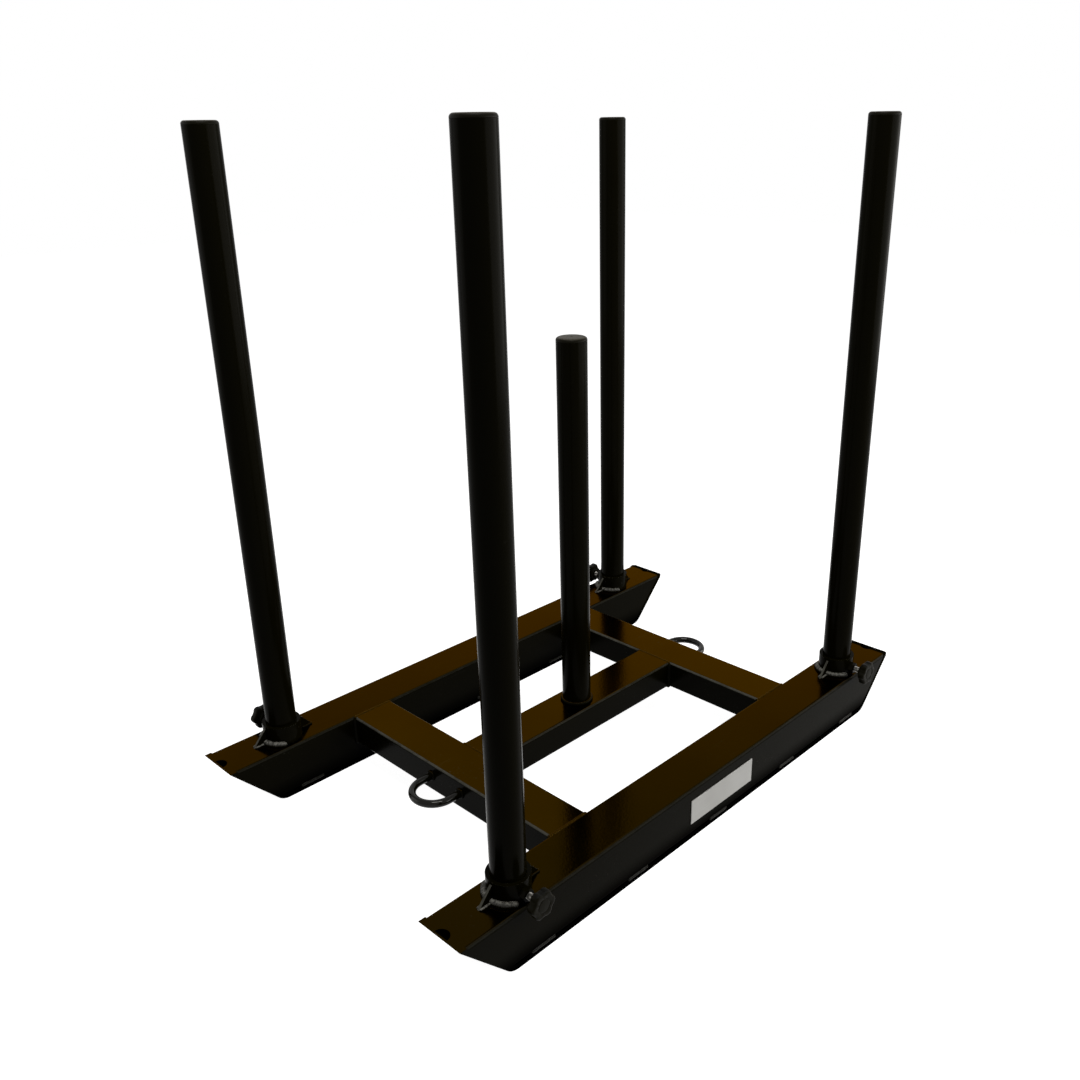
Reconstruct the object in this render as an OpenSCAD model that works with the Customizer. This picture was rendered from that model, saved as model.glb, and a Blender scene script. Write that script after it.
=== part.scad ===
// Weight sled: two box-section runners on bent skid bars, two cross-members and a
// centre bar, four lift-out loading posts clamped in sockets, and a welded centre post.
// X runs along the runners towards the front, Y to the left, Z up, floor at Z 0.

/* [Overall] */
// Length of the sled along its runners
sled_length = 1037; // [900:1:1400]
// Distance between the centrelines of the two runners
track = 541; // [420:1:700]

/* [Runners] */
// Side of the square runner tube
runner_size = 80; // [70:1:100]
// Wall of the runner tube
runner_wall = 4; // [2:0.5:6]
// Outside corner radius of the runner tube
runner_corner = 5; // [4.5:0.5:8]
// Slope of the runner ends above the floor, in degrees
nose_angle = 47; // [35:1:60]

/* [Skids] */
// Thickness of the flat bar under each runner
skid_thickness = 8; // [4:1:15]
// Inside radius of the bend where the bar turns up
skid_bend = 20; // [10:1:40]
// Radius of the half-round notch inside each upturned end of the bar
notch_radius = 12; // [6:1:20]
// Thickness of the bar that stands outside each notch
notch_lip = 2.5; // [1.5:0.5:4]
// Radius of the bar's front corners, seen from above
skid_corner = 6; // [2:1:15]

/* [Cross-members] */
// Distance between the centrelines of the front and rear cross-members
cross_spacing = 504; // [360:1:640]
// Width of each cross-member, seen from above
cross_width = 75; // [50:1:90]
// Depth of each cross-member
cross_depth = 50; // [40:1:70]
// Width of the centre bar, seen from above
bar_width = 75; // [60:1:90]
// Depth of the centre bar
bar_depth = 50; // [30:1:70]
// Wall of the cross-members and the centre bar
cross_wall = 3; // [2:0.5:5]
// Outside corner radius of the cross-members and the centre bar
cross_corner = 4.5; // [3.5:0.5:8]

/* [Posts] */
// Outside diameter of the loading posts and the centre post
post_od = 48.3; // [42:0.1:50.8]
// Wall of the posts
post_wall = 3.2; // [2:0.1:5]
// Height of the loading posts above the runners
post_height = 930; // [400:1:1200]
// Distance of each post's axis from the top end of its runner
post_inset = 117; // [90:1:160]
// Height of the centre post above its bar
centre_post_height = 622; // [200:1:900]
// How far the centre post stands forward of the middle
centre_post_x = 8; // [-60:1:60]
// Height of the plastic cap that shows above each post
cap_height = 5; // [3:0.5:10]
// Rounding of the cap's top edge
cap_round = 3; // [1:0.5:3]
// How deep the cap's plug goes into the post
cap_plug = 22; // [10:1:40]
// Radial play of the cap's plug in the post
cap_plug_play = 0.1; // [0.05:0.05:0.2]

/* [Sockets] */
// Outside diameter of the socket sleeves
socket_od = 60.3; // [58:0.1:70]
// Height of the socket sleeves above the runners
socket_height = 30; // [26:1:80]
// Radial play of a post in its socket
socket_play = 0.8; // [0.5:0.1:1]
// Radius turned off the end of a post that goes into the socket
spigot_relief = 0.5; // [0.3:0.1:1]
// Height of a post's turned end above the socket's mouth
spigot_show = 2; // [0.5:0.5:10]
// Gap under a post, where it stands on the floor of the runner tube
post_seat_gap = 0.3; // [0.1:0.1:0.8]
// Foot of each gusset, measured out from the sleeve
gusset_foot = 23; // [10:1:40]
// Height of each gusset
gusset_height = 26; // [10:1:28]
// Thickness of the gusset plates
gusset_thickness = 4; // [3:0.5:8]

/* [Clamp screws] */
// Diameter of the clamp screw
screw_diameter = 10; // [8:1:12]
// Height of the clamp screw's axis above the runner
screw_height = 12; // [11:0.5:18]
// Gap between the tip of a tightened screw and the turned end of its post
screw_tip_gap = 0.3; // [0.1:0.1:0.8]
// Length of the screw's bevelled tip
screw_tip = 2; // [1:0.5:3]
// Radius that the bevel takes off the screw at its tip
screw_tip_bevel = 1.2; // [0.5:0.1:2]
// Gap between the outer end of the screw and the floor of the knob's bore
screw_end_gap = 0.3; // [0.1:0.1:0.8]
// Width across the flats of the weld nut
nut_width = 17; // [14:0.5:17]
// Thickness of the weld nut
nut_thickness = 8; // [5:0.5:10]
// Radial running clearance of the screw in the nut and in the knob
screw_clearance = 0.05; // [0.02:0.01:0.1]
// Radial clearance of the screw in the sleeve's wall
sleeve_hole_clearance = 0.5; // [0.3:0.1:1]
// Distance from a post's axis to the near face of its knob
knob_standoff = 45; // [42:0.5:60]
// Diameter of the star knob over its lobes
knob_diameter = 43; // [30:1:50]
// Thickness of the star
knob_thickness = 12; // [8:1:20]
// Number of lobes on the knob
knob_lobes = 6; // [5:1:8]
// Radius of each lobe
knob_lobe_radius = 6.8; // [5:0.1:8]
// Radius of the star between its lobes
knob_core_radius = 15.5; // [12:0.5:18]
// Rounding of the star's front and back edges
knob_edge = 3.6; // [1:0.1:5]
// Thickness of the knob in front of the screw's bore
knob_wall = 5; // [3:0.5:6]
// Diameter of the collar behind the star
knob_collar_diameter = 20; // [16:1:24]
// Length of the collar behind the star
knob_collar_length = 5; // [2:0.5:10]

/* [Tow loops] */
// Diameter of the round bar of the tow loops
loop_bar = 12; // [8:0.5:16]
// Width of a tow loop between the centres of its legs
loop_width = 69; // [50:1:100]
// Reach of a tow loop from the cross-member to the centre of its bar
loop_reach = 58; // [52:1:90]
// Depth of the loop's bar below the top of the cross-member
loop_drop = 22; // [15:0.5:30]
// How far each tow loop sits to the right of centre, seen from its own end
loop_offset = 5; // [0:1:30]

/* [Plate] */
// Length of the bare plate on the right runner
plate_length = 155; // [80:1:250]
// Height of the plate
plate_height = 41; // [20:1:60]
// Thickness of the plate
plate_thickness = 1.5; // [0.5:0.1:3]
// How far the plate's middle lies forward of the middle of the sled
plate_x = 7; // [-100:1:100]

/* [Welds] */
// Leg of the fillet beads round the posts and sockets
bead_leg = 6; // [3:0.5:6]
// Angle of sleeve that is welded to the runner on each side of its rear gusset
bead_angle = 60; // [20:1:70]
// How full those beads are, as a share of the leg, where 0.5 is flat
bead_swell = 0.6; // [0.5:0.05:0.7]
// Depth to which its bead bites into the foot of the centre post
weld_bite = 0.5; // [0.2:0.1:1]
// Radius of the round beads along the tube joints
bead_radius = 3.5; // [2:0.5:4]
// Depth of their centres below the face of the tube
bead_sink = 1.4; // [1:0.1:2]
// Leg of the beads beside the gussets
gusset_bead = 3.5; // [2:0.5:5]
// Length of each stitch between a skid and its runner
stitch_length = 44; // [20:1:80]
// Number of stitches along each side of a runner
stitch_count = 5; // [3:1:7]

/* [Hidden] */
$fn = 48;

black_paint = [0.07, 0.06, 0.05];
worn_paint = [0.10, 0.09, 0.08];
black_plastic = [0.03, 0.03, 0.03];
bare_steel = [0.55, 0.55, 0.55];
bare_plate = [0.65, 0.65, 0.63];

// Overlap of a cutting tool past the face that it cuts
cut = 1;
front = 1;
rear = -1;
left = 1;
right = -1;
ends = [front, rear];
sides = [left, right];

deck = skid_thickness + runner_size;
runner_y = track / 2;
runner_inner_y = runner_y - runner_size / 2;
runner_outer_y = runner_y + runner_size / 2;
post_x = sled_length / 2 - post_inset;
post_r = post_od / 2;
spigot_r = post_r - spigot_relief;
socket_r = socket_od / 2;
socket_bore_r = spigot_r + socket_play;
screw_r = screw_diameter / 2;
cap_plug_r = post_r - post_wall - cap_plug_play;
cross_x = cross_spacing / 2;
cross_face_x = cross_x + cross_width / 2;
bar_end_x = cross_x - cross_width / 2;
nose_top_x = sled_length / 2;
skid_top_run = skid_thickness / sin(nose_angle);
knob_r = knob_diameter / 2;
knob_back = knob_standoff + knob_collar_length;
knob_front = knob_back + knob_thickness;
screw_end = knob_front - knob_wall - screw_end_gap;

// Points on an arc about [x, y] from angle a0 to a1
function arc(x, y, r, a0, a1, steps) =
    [for (i = [0:steps]) let (a = a0 + (a1 - a0) * i / steps) [x + r * cos(a), y + r * sin(a)]];
function mirrored(points) = [for (i = [len(points) - 1:-1:0]) [-points[i][0], points[i][1]]];

// Centre of the skid's bend, tangent to the tube's underside and to its sloped end
function bend_centre() = [
    nose_top_x - skid_top_run - (deck - skid_thickness) / tan(nose_angle) - skid_bend * tan(nose_angle / 2),
    skid_thickness + skid_bend
];

module rounded_rect(w, h, r) {
    square([w - 2 * r, h], center = true);
    square([w, h - 2 * r], center = true);
    for (sx = [-1, 1], sy = [-1, 1])
        translate([sx * (w / 2 - r), sy * (h / 2 - r)])
            circle(r = r);
}

module box_section(w, h, wall, r) {
    difference() {
        rounded_rect(w, h, r);
        rounded_rect(w - 2 * wall, h - 2 * wall, r - wall);
    }
}

module along_x(length) {
    rotate([90, 0, 90])
        linear_extrude(height = length, center = true)
            children();
}

module along_y(length) {
    rotate([90, 0, 0])
        linear_extrude(height = length, center = true)
            children();
}

// Side outline of a runner, as a boat shape with its bends at radius r
module boat(r, top_x) {
    centre = bend_centre();
    bend = arc(centre[0], centre[1], r, -90, nose_angle - 90, 10);
    side = concat(bend, [[top_x, deck]]);
    polygon(concat(mirrored(side), side));
}

module runner_tube(side) {
    intersection() {
        translate([0, side * runner_y, skid_thickness + runner_size / 2])
            along_x(sled_length)
                box_section(runner_size, runner_size, runner_wall, runner_corner);
        translate([0, side * runner_y, 0])
            along_y(runner_size)
                boat(skid_bend, nose_top_x - skid_top_run);
    }
}

module runner(side) {
    color(black_paint)
        difference() {
            runner_tube(side);
            for (end = ends)
                translate([end * post_x, side * runner_y, deck - runner_wall - cut])
                    cylinder(r = socket_bore_r, h = runner_wall + 2 * cut);
            notches(side);
        }
}

// Half-round pockets in the deck that leave the outer face of the upturned bar whole
module notches(side) {
    lip_x = nose_top_x - notch_lip / sin(nose_angle);
    depth = notch_radius * tan(nose_angle) + cut;
    translate([0, side * runner_y, 0])
        intersection() {
            for (end = ends)
                translate([end * lip_x, 0, deck - depth])
                    cylinder(r = notch_radius, h = depth + cut);
            along_y(2 * notch_radius + cut)
                polygon([
                    [lip_x + cut / tan(nose_angle), deck + cut],
                    [lip_x - depth / tan(nose_angle), deck - depth],
                    [-lip_x + depth / tan(nose_angle), deck - depth],
                    [-lip_x - cut / tan(nose_angle), deck + cut]
                ]);
        }
}

// Outline of a skid seen from above, with rounded corners at the front
module skid_plan() {
    translate([-nose_top_x - cut, -runner_size / 2])
        square([sled_length + cut - skid_corner, runner_size]);
    translate([nose_top_x - skid_corner, 0])
        square([2 * skid_corner, runner_size - 2 * skid_corner], center = true);
    for (side = sides)
        translate([nose_top_x - skid_corner, side * (runner_size / 2 - skid_corner)])
            circle(r = skid_corner);
}

module skid(side) {
    color(worn_paint)
        difference() {
            translate([0, side * runner_y, 0])
                intersection() {
                    along_y(runner_size)
                        difference() {
                            boat(skid_bend + skid_thickness, nose_top_x);
                            boat(skid_bend, nose_top_x - skid_top_run);
                        }
                    translate([0, 0, -cut])
                        linear_extrude(height = deck + 2 * cut)
                            skid_plan();
                }
            notches(side);
        }
}

module crossmember(end) {
    color(black_paint)
        translate([end * cross_x, 0, deck - cross_depth / 2])
            along_y(2 * runner_inner_y)
                box_section(cross_width, cross_depth, cross_wall, cross_corner);
}

module centre_bar() {
    color(black_paint)
        translate([0, 0, deck - bar_depth / 2])
            along_x(2 * bar_end_x)
                box_section(bar_width, bar_depth, cross_wall, cross_corner);
}

// Plastic cap whose domed top is at the given height, with its plug inside the post
module cap(height) {
    color(black_plastic)
        translate([0, 0, height - cap_height])
            rotate_extrude()
                polygon(concat(
                    [[0, -cap_plug], [cap_plug_r, -cap_plug], [cap_plug_r, 0], [post_r, 0]],
                    arc(post_r - cap_round, cap_height - cap_round, cap_round, 0, 90, 6),
                    [[0, cap_height]]
                ));
}

module centre_post() {
    color(black_paint)
        translate([centre_post_x, 0, deck])
            difference() {
                union() {
                    cylinder(r = post_r - weld_bite, h = bead_leg);
                    translate([0, 0, bead_leg])
                        cylinder(r = post_r, h = centre_post_height - cap_height - bead_leg);
                }
                translate([0, 0, -cut])
                    cylinder(r = post_r - post_wall, h = centre_post_height);
            }
}

module centre_post_cap() {
    translate([centre_post_x, 0, deck])
        cap(centre_post_height);
}

// Places a corner's pieces on its post axis, with +Y outwards from the sled
module corner(end, side) {
    translate([end * post_x, side * runner_y, deck])
        rotate([0, 0, side == left ? 0 : 180])
            children();
}

module outwards(from, z) {
    translate([0, from, z])
        rotate([-90, 0, 0])
            children();
}

module socket() {
    color(black_paint)
        difference() {
            cylinder(r = socket_r, h = socket_height);
            translate([0, 0, -cut])
                cylinder(r = socket_bore_r, h = socket_height + 2 * cut);
            outwards(0, screw_height)
                cylinder(r = screw_r + sleeve_hole_clearance, h = socket_r + cut);
        }
}

module gusset_plates() {
    for (turn = [0, 180])
        rotate([0, 0, turn])
            along_y(gusset_thickness)
                polygon([
                    [socket_r - gusset_thickness, 0],
                    [socket_r + gusset_foot, 0],
                    [socket_r, gusset_height],
                    [socket_r - gusset_thickness, gusset_height]
                ]);
}

module gussets() {
    color(black_paint)
        difference() {
            gusset_plates();
            translate([0, 0, -cut])
                cylinder(r = socket_r, h = socket_height + 2 * cut);
        }
}

module weld_nut() {
    color(black_paint)
        difference() {
            outwards(0, screw_height)
                cylinder(d = nut_width / cos(30), h = socket_r + nut_thickness, $fn = 6);
            translate([0, 0, -cut])
                cylinder(r = socket_r, h = socket_height + 2 * cut);
            outwards(0, screw_height)
                cylinder(r = screw_r + screw_clearance, h = socket_r + nut_thickness + cut);
        }
}

module screw() {
    tip = spigot_r + screw_tip_gap;
    color(bare_steel)
        outwards(tip, screw_height) {
            cylinder(r1 = screw_r - screw_tip_bevel, r2 = screw_r, h = screw_tip);
            translate([0, 0, screw_tip])
                cylinder(r = screw_r, h = screw_end - tip - screw_tip);
        }
}

// Star outline whose lobes touch the knob's full diameter
module star() {
    circle(r = knob_core_radius);
    for (i = [0:knob_lobes - 1])
        rotate(i * 360 / knob_lobes)
            translate([knob_r - knob_lobe_radius, 0])
                circle(r = knob_lobe_radius);
}

module knob() {
    color(black_plastic)
        difference() {
            outwards(knob_standoff, screw_height)
                union() {
                    cylinder(d = knob_collar_diameter, h = knob_collar_length);
                    intersection() {
                        translate([0, 0, knob_collar_length])
                            linear_extrude(height = knob_thickness)
                                star();
                        translate([0, 0, knob_collar_length])
                            rotate_extrude()
                                polygon(concat(
                                    [[0, 0]],
                                    arc(knob_r - knob_edge, knob_edge, knob_edge, -90, 0, 4),
                                    arc(knob_r - knob_edge, knob_thickness - knob_edge, knob_edge, 0, 90, 4),
                                    [[0, knob_thickness]]
                                ));
                    }
                }
            outwards(knob_standoff - cut, screw_height)
                cylinder(r = screw_r + screw_clearance, h = cut + knob_front - knob_wall - knob_standoff);
        }
}

module post() {
    foot = runner_wall - runner_size + post_seat_gap;
    step = socket_height + spigot_show;
    color(black_paint)
        difference() {
            union() {
                translate([0, 0, foot])
                    cylinder(r = spigot_r, h = step - foot);
                translate([0, 0, step])
                    cylinder(r = post_r, h = post_height - cap_height - step);
            }
            translate([0, 0, foot - cut])
                cylinder(r = post_r - post_wall, h = post_height - foot + cut);
        }
}

module post_cap() {
    cap(post_height);
}

// Round bar bent to a U, with both legs butted on the cross-member
module tow_loop(end) {
    leg = loop_reach - loop_width / 2;
    color(black_paint)
        translate([end * cross_face_x, end * loop_offset, deck - loop_drop])
            rotate([0, 0, end == front ? 0 : 180]) {
                for (side = sides)
                    translate([0, side * loop_width / 2, 0])
                        rotate([0, 90, 0])
                            cylinder(d = loop_bar, h = leg);
                translate([leg, 0, 0])
                    rotate([0, 0, -90])
                        rotate_extrude(angle = 180)
                            translate([loop_width / 2, 0])
                                circle(d = loop_bar);
            }
}

module blank_plate() {
    color(bare_plate)
        translate([plate_x, -runner_outer_y - plate_thickness / 2, skid_thickness + runner_size / 2])
            cube([plate_length, plate_thickness, plate_height], center = true);
}

module fillet_ring(r, angle = 360) {
    swell = bead_leg * bead_swell;
    rotate_extrude(angle = angle)
        polygon([[r, 0], [r + bead_leg, 0], [r + swell, swell], [r, bead_leg]]);
}

module bead(length) {
    cylinder(r = bead_radius, h = length, center = true);
}

// Beads round the end of a w by h tube whose joint lies in the plane X 0 and whose top is at Z 0
module butt_beads(w, h, r) {
    for (z = [-bead_sink, bead_sink - h])
        translate([bead_sink, 0, z])
            rotate([90, 0, 0])
                bead(w - 2 * r);
    for (side = sides)
        translate([0, side * w / 2, -h / 2])
            bead(h - 2 * r);
}

module solid_runner(side) {
    translate([0, side * runner_y, skid_thickness + runner_size / 2])
        along_x(sled_length)
            rounded_rect(runner_size, runner_size, runner_corner);
}

module solid_crossmember(end) {
    translate([end * cross_x, 0, deck - cross_depth / 2])
        along_y(2 * runner_inner_y)
            rounded_rect(cross_width, cross_depth, cross_corner);
}

module solid_centre_bar() {
    translate([0, 0, deck - bar_depth / 2])
        along_x(2 * bar_end_x)
            rounded_rect(bar_width, bar_depth, cross_corner);
}

module frame_welds() {
    color(black_paint)
        difference() {
            union() {
                for (end = ends, side = sides)
                    translate([end * cross_x, side * runner_inner_y, deck])
                        rotate([0, 0, side * 90])
                            butt_beads(cross_width, cross_depth, cross_corner);
                for (end = ends)
                    translate([end * bar_end_x, 0, deck])
                        rotate([0, 0, end == front ? 0 : 180])
                            butt_beads(bar_width, bar_depth, cross_corner);
                translate([centre_post_x, 0, deck])
                    fillet_ring(post_r - weld_bite);
                for (end = ends, side = sides)
                    translate([end * cross_face_x, end * loop_offset + side * loop_width / 2, deck - loop_drop])
                        rotate([0, end * 90, 0])
                            fillet_ring(loop_bar / 2);
            }
            for (side = sides)
                solid_runner(side);
            for (end = ends)
                solid_crossmember(end);
            solid_centre_bar();
        }
}

module skid_welds() {
    first = bend_centre()[0] - stitch_length / 2;
    color(worn_paint)
        difference() {
            for (side = sides, face = sides, i = [0:stitch_count - 1])
                translate([
                    first * (2 * i / (stitch_count - 1) - 1),
                    side * runner_y + face * (runner_size / 2 - bead_sink),
                    skid_thickness + bead_sink
                ])
                    rotate([0, 90, 0])
                        bead(stitch_length);
            for (side = sides) {
                solid_runner(side);
                translate([0, side * runner_y, skid_thickness / 2])
                    cube([sled_length, runner_size, skid_thickness], center = true);
            }
        }
}

module socket_weld(side) {
    rear_gusset = side == left ? 180 : 0;
    difference() {
        union() {
            rotate([0, 0, rear_gusset - bead_angle])
                fillet_ring(socket_r, 2 * bead_angle);
            for (turn = [0, 180])
                rotate([0, 0, turn])
                    rotate([90, 0, 90])
                        translate([0, 0, socket_r])
                            linear_extrude(height = gusset_foot)
                                for (face = [0, 1])
                                    mirror([face, 0])
                                        polygon([
                                            [0, 0],
                                            [gusset_thickness / 2 + gusset_bead, 0],
                                            [gusset_thickness / 2, gusset_bead],
                                            [0, gusset_bead]
                                        ]);
        }
        gusset_plates();
        translate([0, 0, -cut])
            cylinder(r = socket_r, h = socket_height + 2 * cut);
    }
}

module socket_welds() {
    color(black_paint)
        for (end = ends, side = sides)
            corner(end, side)
                socket_weld(side);
}

runner(left);  // runner_left
runner(right);  // runner_right
skid(left);  // skid_left
skid(right);  // skid_right
crossmember(front);  // front_crossmember
crossmember(rear);  // rear_crossmember
centre_bar();
centre_post();
centre_post_cap();
corner(front, left) socket();  // socket_front_left
corner(front, right) socket();  // socket_front_right
corner(rear, left) socket();  // socket_rear_left
corner(rear, right) socket();  // socket_rear_right
corner(front, left) gussets();  // gussets_front_left
corner(front, right) gussets();  // gussets_front_right
corner(rear, left) gussets();  // gussets_rear_left
corner(rear, right) gussets();  // gussets_rear_right
corner(front, left) weld_nut();  // weld_nut_front_left
corner(front, right) weld_nut();  // weld_nut_front_right
corner(rear, left) weld_nut();  // weld_nut_rear_left
corner(rear, right) weld_nut();  // weld_nut_rear_right
tow_loop(front);  // front_tow_loop
tow_loop(rear);  // rear_tow_loop
blank_plate();
frame_welds();
skid_welds();
socket_welds();
corner(front, left) post();  // post_front_left
corner(front, right) post();  // post_front_right
corner(rear, left) post();  // post_rear_left
corner(rear, right) post();  // post_rear_right
corner(front, left) post_cap();  // post_cap_front_left
corner(front, right) post_cap();  // post_cap_front_right
corner(rear, left) post_cap();  // post_cap_rear_left
corner(rear, right) post_cap();  // post_cap_rear_right
corner(front, left) screw();  // screw_front_left
corner(front, right) screw();  // screw_front_right
corner(rear, left) screw();  // screw_rear_left
corner(rear, right) screw();  // screw_rear_right
corner(front, left) knob();  // knob_front_left
corner(front, right) knob();  // knob_front_right
corner(rear, left) knob();  // knob_rear_left
corner(rear, right) knob();  // knob_rear_right
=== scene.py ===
"""Looks for the weight sled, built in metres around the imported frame: bevelled coats for
the welded steel, spun posts and caps, star knobs on threaded screws, rippled weld beads
and a bare plate, in powder coat, moulded plastic, zinc and satin metal."""

import math

import bmesh
import bpy
from mathutils import Matrix, Vector


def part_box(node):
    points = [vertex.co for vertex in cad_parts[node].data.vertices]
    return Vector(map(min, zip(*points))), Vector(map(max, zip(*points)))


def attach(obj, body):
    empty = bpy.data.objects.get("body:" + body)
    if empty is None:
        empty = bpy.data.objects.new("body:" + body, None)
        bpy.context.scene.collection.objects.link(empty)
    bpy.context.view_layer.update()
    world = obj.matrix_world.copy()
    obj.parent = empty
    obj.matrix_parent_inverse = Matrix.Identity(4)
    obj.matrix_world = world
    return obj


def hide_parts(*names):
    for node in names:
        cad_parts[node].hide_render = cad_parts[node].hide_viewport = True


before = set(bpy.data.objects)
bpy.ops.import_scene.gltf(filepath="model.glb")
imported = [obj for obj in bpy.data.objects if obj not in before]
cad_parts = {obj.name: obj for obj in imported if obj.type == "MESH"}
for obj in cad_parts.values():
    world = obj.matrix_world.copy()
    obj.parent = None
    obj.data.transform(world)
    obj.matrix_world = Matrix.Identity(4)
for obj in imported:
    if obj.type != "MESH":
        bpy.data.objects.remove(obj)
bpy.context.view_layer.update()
scene = bpy.context.scene


def middle(node, axis):
    """Middle of a node's box along X (0) or Y (1)."""
    low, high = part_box(node)
    return (low[axis] + high[axis]) / 2


# Frame, in metres
CORNERS = {"front_left": (1, 1), "front_right": (1, -1), "rear_left": (-1, 1), "rear_right": (-1, -1)}
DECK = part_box("runner_left")[1].z
RUNNER_Y = middle("runner_left", 1)
RUNNER_HALF = RUNNER_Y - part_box("runner_left")[0].y
CROSS_X = middle("front_crossmember", 0)
CROSS_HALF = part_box("front_crossmember")[1].x - CROSS_X
CROSS_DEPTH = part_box("front_crossmember")[1].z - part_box("front_crossmember")[0].z
BAR_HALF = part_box("centre_bar")[1].y
BAR_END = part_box("centre_bar")[1].x
NOSE_ANGLE = math.radians(47)
NOTCH_R = 0.012
NOTCH_LIP = 0.0025
NOTCH_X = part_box("skid_left")[1].x - NOTCH_LIP / math.sin(NOSE_ANGLE)
LOOP_R = 0.006
LOOP_HALF = 0.0345
LOOP_REACH = 0.0555
LOOP_OFFSET = 0.005
LOOP_DROP = 0.022
LOOP_Z = DECK - LOOP_DROP

# Posts, sockets and caps
POST_X = middle("post_front_left", 0)
POST_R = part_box("post_front_left")[1].x - POST_X
POST_WALL = 0.0032
POST_BORE_R = POST_R - POST_WALL
SPIGOT_RELIEF = 0.0005
SPIGOT_TOP = 0.032
SOCKET_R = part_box("socket_front_left")[1].x - POST_X
GUSSET_HALF = 0.002
CENTRE_POST_X = middle("centre_post", 0)
CENTRE_NECK = 0.006
WELD_BITE = 0.0005
CAP_PLUG = 0.022
CAP_PLAY = 0.0001
CAP_ROUND = 0.0045
CAP_FINS = (-0.0175, -0.0125, -0.0075)
CAP_FIN_DEPTH = 0.0007
SPIN_SEGMENTS = 96

# Clamp screws, nuts and knobs, whose distances start at the post's axis
SCREW_Z = 0.012
SCREW_R = 0.005
SCREW_GAP = 0.0003
SCREW_TIP = 0.002
SCREW_TIP_BEVEL = 0.0018
THREAD_PITCH = 0.0015
THREAD_DEPTH = 0.0009
NUT_HALF = 0.0085
NUT_HEIGHT = 0.008
NUT_FACE = SOCKET_R + NUT_HEIGHT
BORE_R = 0.00505
KNOB_R = 0.0205
KNOB_COLLAR_R = 0.010
KNOB_BACK = 0.049
KNOB_STAR = 0.054
KNOB_BORE_END = 0.057
KNOB_FRONT = 0.066

# Weld beads
BEAD_STEP = 0.0007
BEAD_SIDES = 14
BEAD_WANDER = 0.0004
RIPPLE_SPACING = 0.0026
RIPPLE_DEPTH = 0.13
TUBE_BEAD_R = 0.0045
LOOP_BEAD_R = 0.0024
FOOT_BEAD_R = 0.0034
SOCKET_BEAD_R = 0.0050
SOCKET_BEAD_ANGLE = math.radians(70)
GUSSET_BEAD_R = 0.0020
GUSSET_BEAD_STOPS = (0.003, 0.013, 0.0225)
STITCH_BEAD_R = 0.0028
STITCH_SINK = 0.0014
STITCH_LENGTH = 0.044
STITCH_FIRST = 0.402
STITCH_COUNT = 5

# Colours. Those of mottled surfaces come in pairs.
BLACK = (0.0026, 0.0022, 0.0004, 1)
# Black of painted shade, in the notch pockets and towards the foot
PAINTED_SHADE_BLACK = (0.0004, 0.0004, 0.0003, 1)
# Painted reflection of the sky on the faces that look up: a brownish tint for the runners, one for the
# cross-members, and how much dimmer its mottled patches are
TOP_REFLECTION = (0.0132, 0.0078, 0.0006, 1)
CROSS_TOP_REFLECTION = (0.0265, 0.0138, 0.0009, 1)
TOP_REFLECTION_DIMMING = 0.8
SHEEN_TINT = (0.72, 0.57, 0.44, 1)
# Colours of the painted highlight on edges, which the rub marks share
PALE_SHEEN_AND_WEAR = (0.030, 0.029, 0.023, 1)
BRIGHT_SHEEN_AND_WEAR = (0.075, 0.073, 0.062, 1)
SLEEVE_SHEEN_AND_WEAR = (0.12, 0.118, 0.10, 1)
# Painted highlight on the tops of the weld beads
BEAD_TOP_HIGHLIGHT = (0.13, 0.126, 0.112, 1)
STITCH_TOP_HIGHLIGHT = (0.011, 0.0105, 0.009, 1)
# Painted light on the tops of caps and knobs, in patches
CAP_TOP_LIGHT = ((0.016, 0.012, 0.005, 1), (0.044, 0.041, 0.032, 1))
KNOB_TOP_LIGHT = ((0.0035, 0.0034, 0.0026, 1), (0.006, 0.0058, 0.0048, 1))
ZINC = ((0.10, 0.098, 0.09, 1), (0.32, 0.31, 0.29, 1))
SATIN = ((0.29, 0.288, 0.276, 1), (0.335, 0.333, 0.324, 1))
WHITE = (1, 1, 1, 1)
LAMP_COLOUR = (1.0, 0.98, 0.94)

VECTOR = "NodeSocketVector"
FLOAT = "NodeSocketFloat"


def direction(azimuth, elevation):
    """Unit vector at an azimuth from +X towards +Y, and an elevation."""
    level = math.cos(elevation)
    return Vector((math.cos(azimuth) * level, math.sin(azimuth) * level, math.sin(elevation)))


def polar(radius, angle, height=0.0):
    """Point at a radius and angle round the Z axis."""
    return Vector((radius * math.cos(angle), radius * math.sin(angle), height))


def place_camera():
    """The camera, solved from the sled's outline in a square picture of 1080 by 1080."""
    place = Vector((-1.1151, -1.0905, 1.0048))
    yaw, pitch, roll = 0.7717, -0.3796, -0.0149
    picture, focal, centre = 1080.0, 1040.3, (573.4, 540.5)
    sensor = 36.0
    forward = direction(yaw, pitch)
    level = Vector((math.sin(yaw), -math.cos(yaw), 0))
    upright = level.cross(forward)
    right = math.cos(roll) * level + math.sin(roll) * upright
    up = math.cos(roll) * upright - math.sin(roll) * level
    data = bpy.data.cameras.new("camera")
    data.sensor_width = sensor
    data.lens = focal / picture * sensor
    data.shift_x = (picture / 2 - centre[0]) / picture
    data.shift_y = (centre[1] - picture / 2) / picture
    camera = bpy.data.objects.new("camera", data)
    turn = Matrix((right, up, -forward)).transposed().to_4x4()
    camera.matrix_world = Matrix.Translation(place) @ turn
    scene.collection.objects.link(camera)
    scene.camera = camera


# Nodes
def fill(tree, node, inputs):
    """Links a node's inputs to sockets, or sets them to plain values."""
    for socket, value in inputs.items():
        if isinstance(value, bpy.types.NodeSocket):
            tree.links.new(value, node.inputs[socket])
        else:
            node.inputs[socket].default_value = value


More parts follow.
